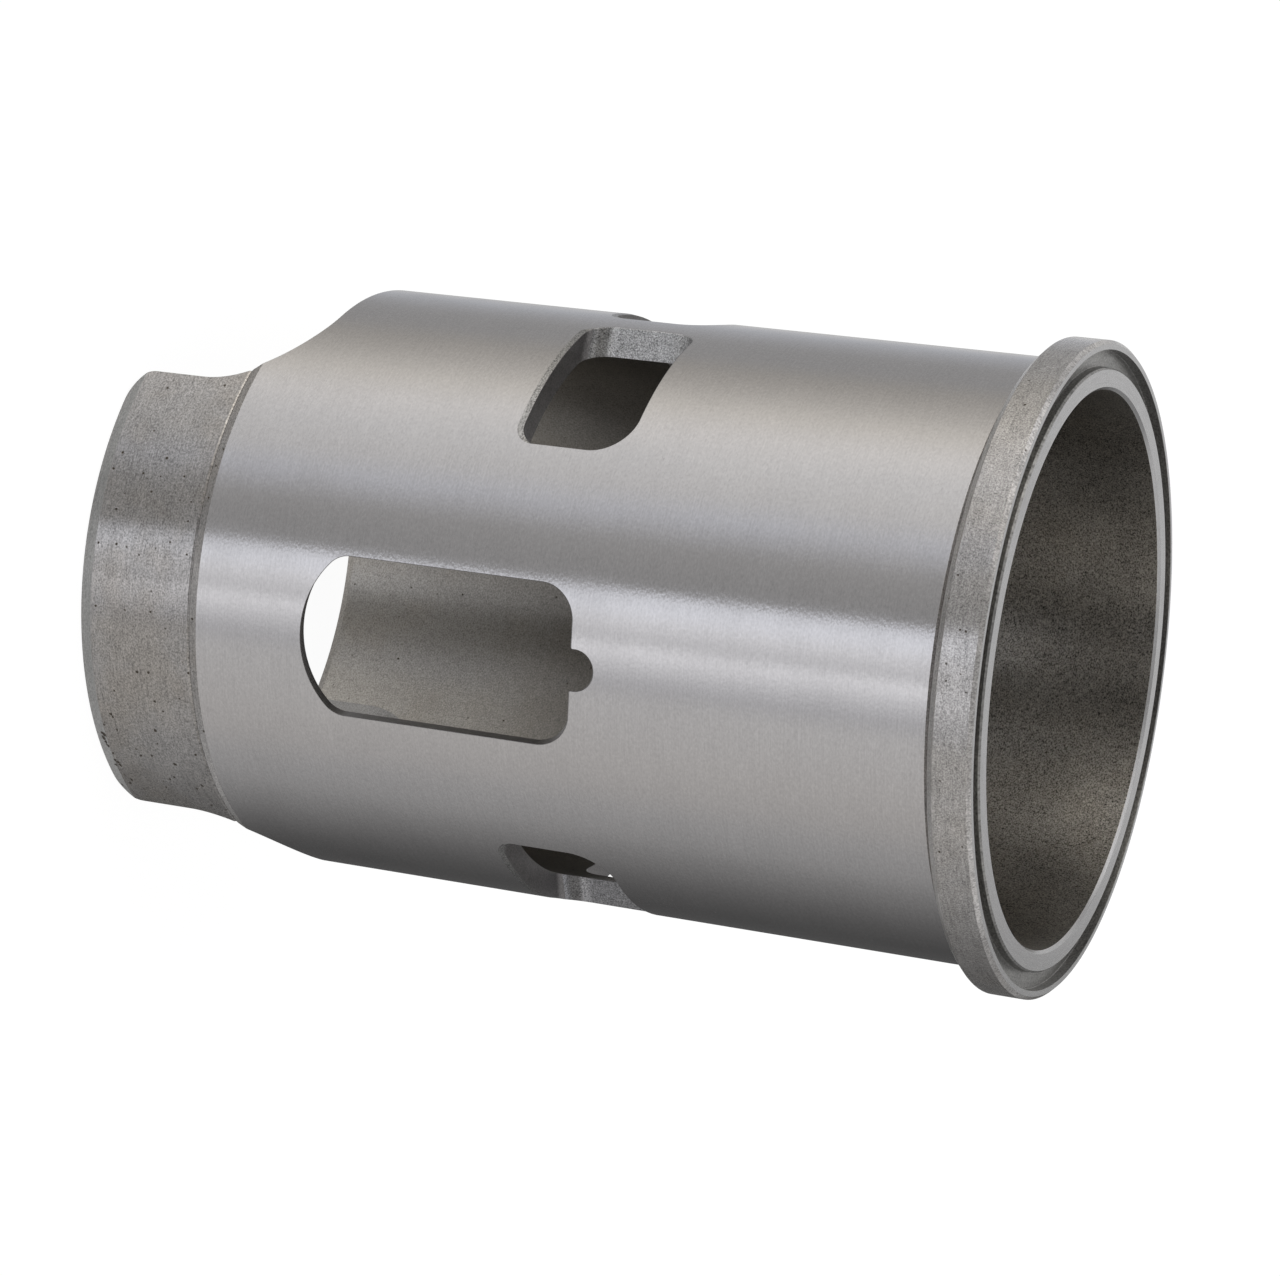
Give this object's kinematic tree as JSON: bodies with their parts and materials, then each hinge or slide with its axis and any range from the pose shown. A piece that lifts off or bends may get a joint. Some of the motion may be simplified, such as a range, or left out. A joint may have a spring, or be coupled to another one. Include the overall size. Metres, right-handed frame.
{
  "type": "cylinder liner",
  "caption": "Flanged cylinder liner for a ported two-stroke engine, with intake, transfer and exhaust windows through its wall and arched crank clearance at the skirt.",
  "frame": {"origin": "centre of the skirt end, on the bore axis", "axes": "+Z along the bore from the skirt end to the head flange, -Y towards the intake window, +Y towards the exhaust window, transfer ports in mirrored pairs on +X and -X"},
  "size_m": [0.0781, 0.078, 0.1143],
  "materials": {
    "machined_iron": "satin ground and honed grey iron"
  },
  "bodies": {
    "root": {"cylinder_liner": "machined_iron"}
  },
  "joints": []
}
